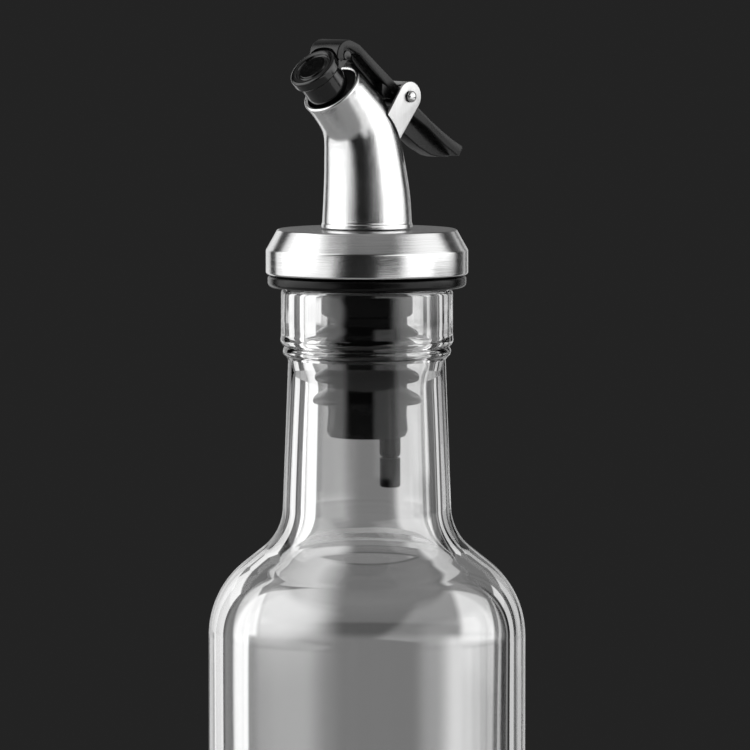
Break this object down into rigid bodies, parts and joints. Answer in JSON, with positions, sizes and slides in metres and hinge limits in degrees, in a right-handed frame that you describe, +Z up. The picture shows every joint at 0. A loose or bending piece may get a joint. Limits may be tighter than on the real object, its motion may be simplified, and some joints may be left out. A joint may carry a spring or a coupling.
{
  "type": "pourer bottle",
  "caption": "Round clear glass bottle closed by a steel pourer with a bent spout, whose sprung lever lifts a small stopper off the mouth.",
  "frame": {"origin": "centre of the bottle's standing ring, on the surface it stands on", "axes": "+Z up along the bottle's axis; the spout leans and pours towards -X, the lever's tail is at +X, and its hinge lies along Y"},
  "size_m": [0.0598, 0.0598, 0.2668],
  "materials": {
    "clear_glass": "clear, smooth and glossy",
    "collar_steel": "satin, turned grain round the axis",
    "gasket_rubber": "satin black",
    "plug_rubber": "satin black",
    "tube_plastic": "smooth black",
    "tip_plastic": "matte black",
    "spout_steel": "fine satin",
    "bracket_steel": "pale satin sheet",
    "pin_steel": "polished rivet head",
    "lever_plastic": "fine matte black",
    "stopper_rubber": "glossy black"
  },
  "bodies": {
    "bottle": {"glass_bottle": "clear_glass", "collar": "collar_steel", "gasket_ring": "gasket_rubber", "plug": "plug_rubber", "air_tube": "tube_plastic", "tube_tip": "tip_plastic", "spout": "spout_steel", "bracket": "bracket_steel", "hinge_pin": "pin_steel"},
    "lever": {"lever": "lever_plastic", "stopper": "stopper_rubber"}
  },
  "joints": [
    {"name": "lever_hinge", "type": "hinge", "parent": "bottle", "child": "lever", "pos_m": [0.00521, 0, 0.25605], "axis": [0, 1, 0], "range_deg": [0, 14], "stiffness_Nm_per_rad": 0.05, "springref_deg": -8.59}
  ]
}
